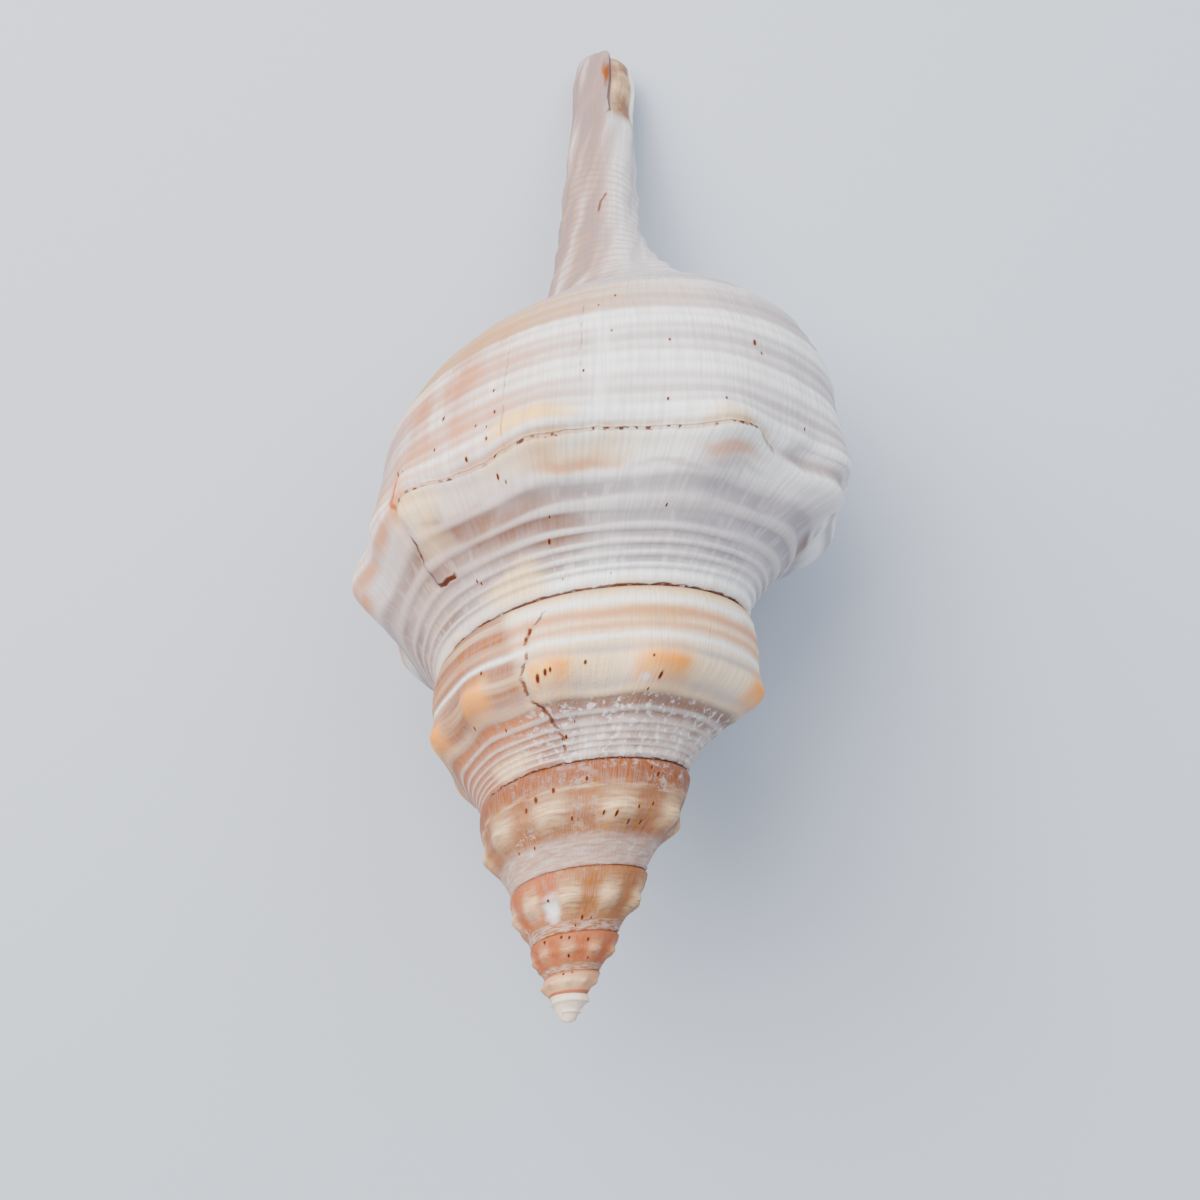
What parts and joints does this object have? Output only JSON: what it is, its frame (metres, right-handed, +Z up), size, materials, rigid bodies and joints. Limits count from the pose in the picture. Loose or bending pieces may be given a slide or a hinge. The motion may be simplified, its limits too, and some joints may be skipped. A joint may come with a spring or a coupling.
{
  "type": "horse conch shell",
  "caption": "Heavy spindle-shaped sea snail shell with knobbed whorls, a tall stepped spire, a long siphonal canal and an open mouth; it lies mouth down on small worn flats.",
  "frame": {"origin": "on the ground under the middle of the shell's bounding box", "axes": "+Y towards the tip of the siphonal canal, -Y towards the apex of the spire, +X towards the side of the last whorl that grows round to the lip, +Z up as the shell lies"},
  "size_m": [0.0816, 0.174, 0.0861],
  "materials": {
    "shell": "chalky satin, white and mauve on the last whorl, orange on the spire"
  },
  "bodies": {
    "root": {"shell": "shell"}
  },
  "joints": []
}
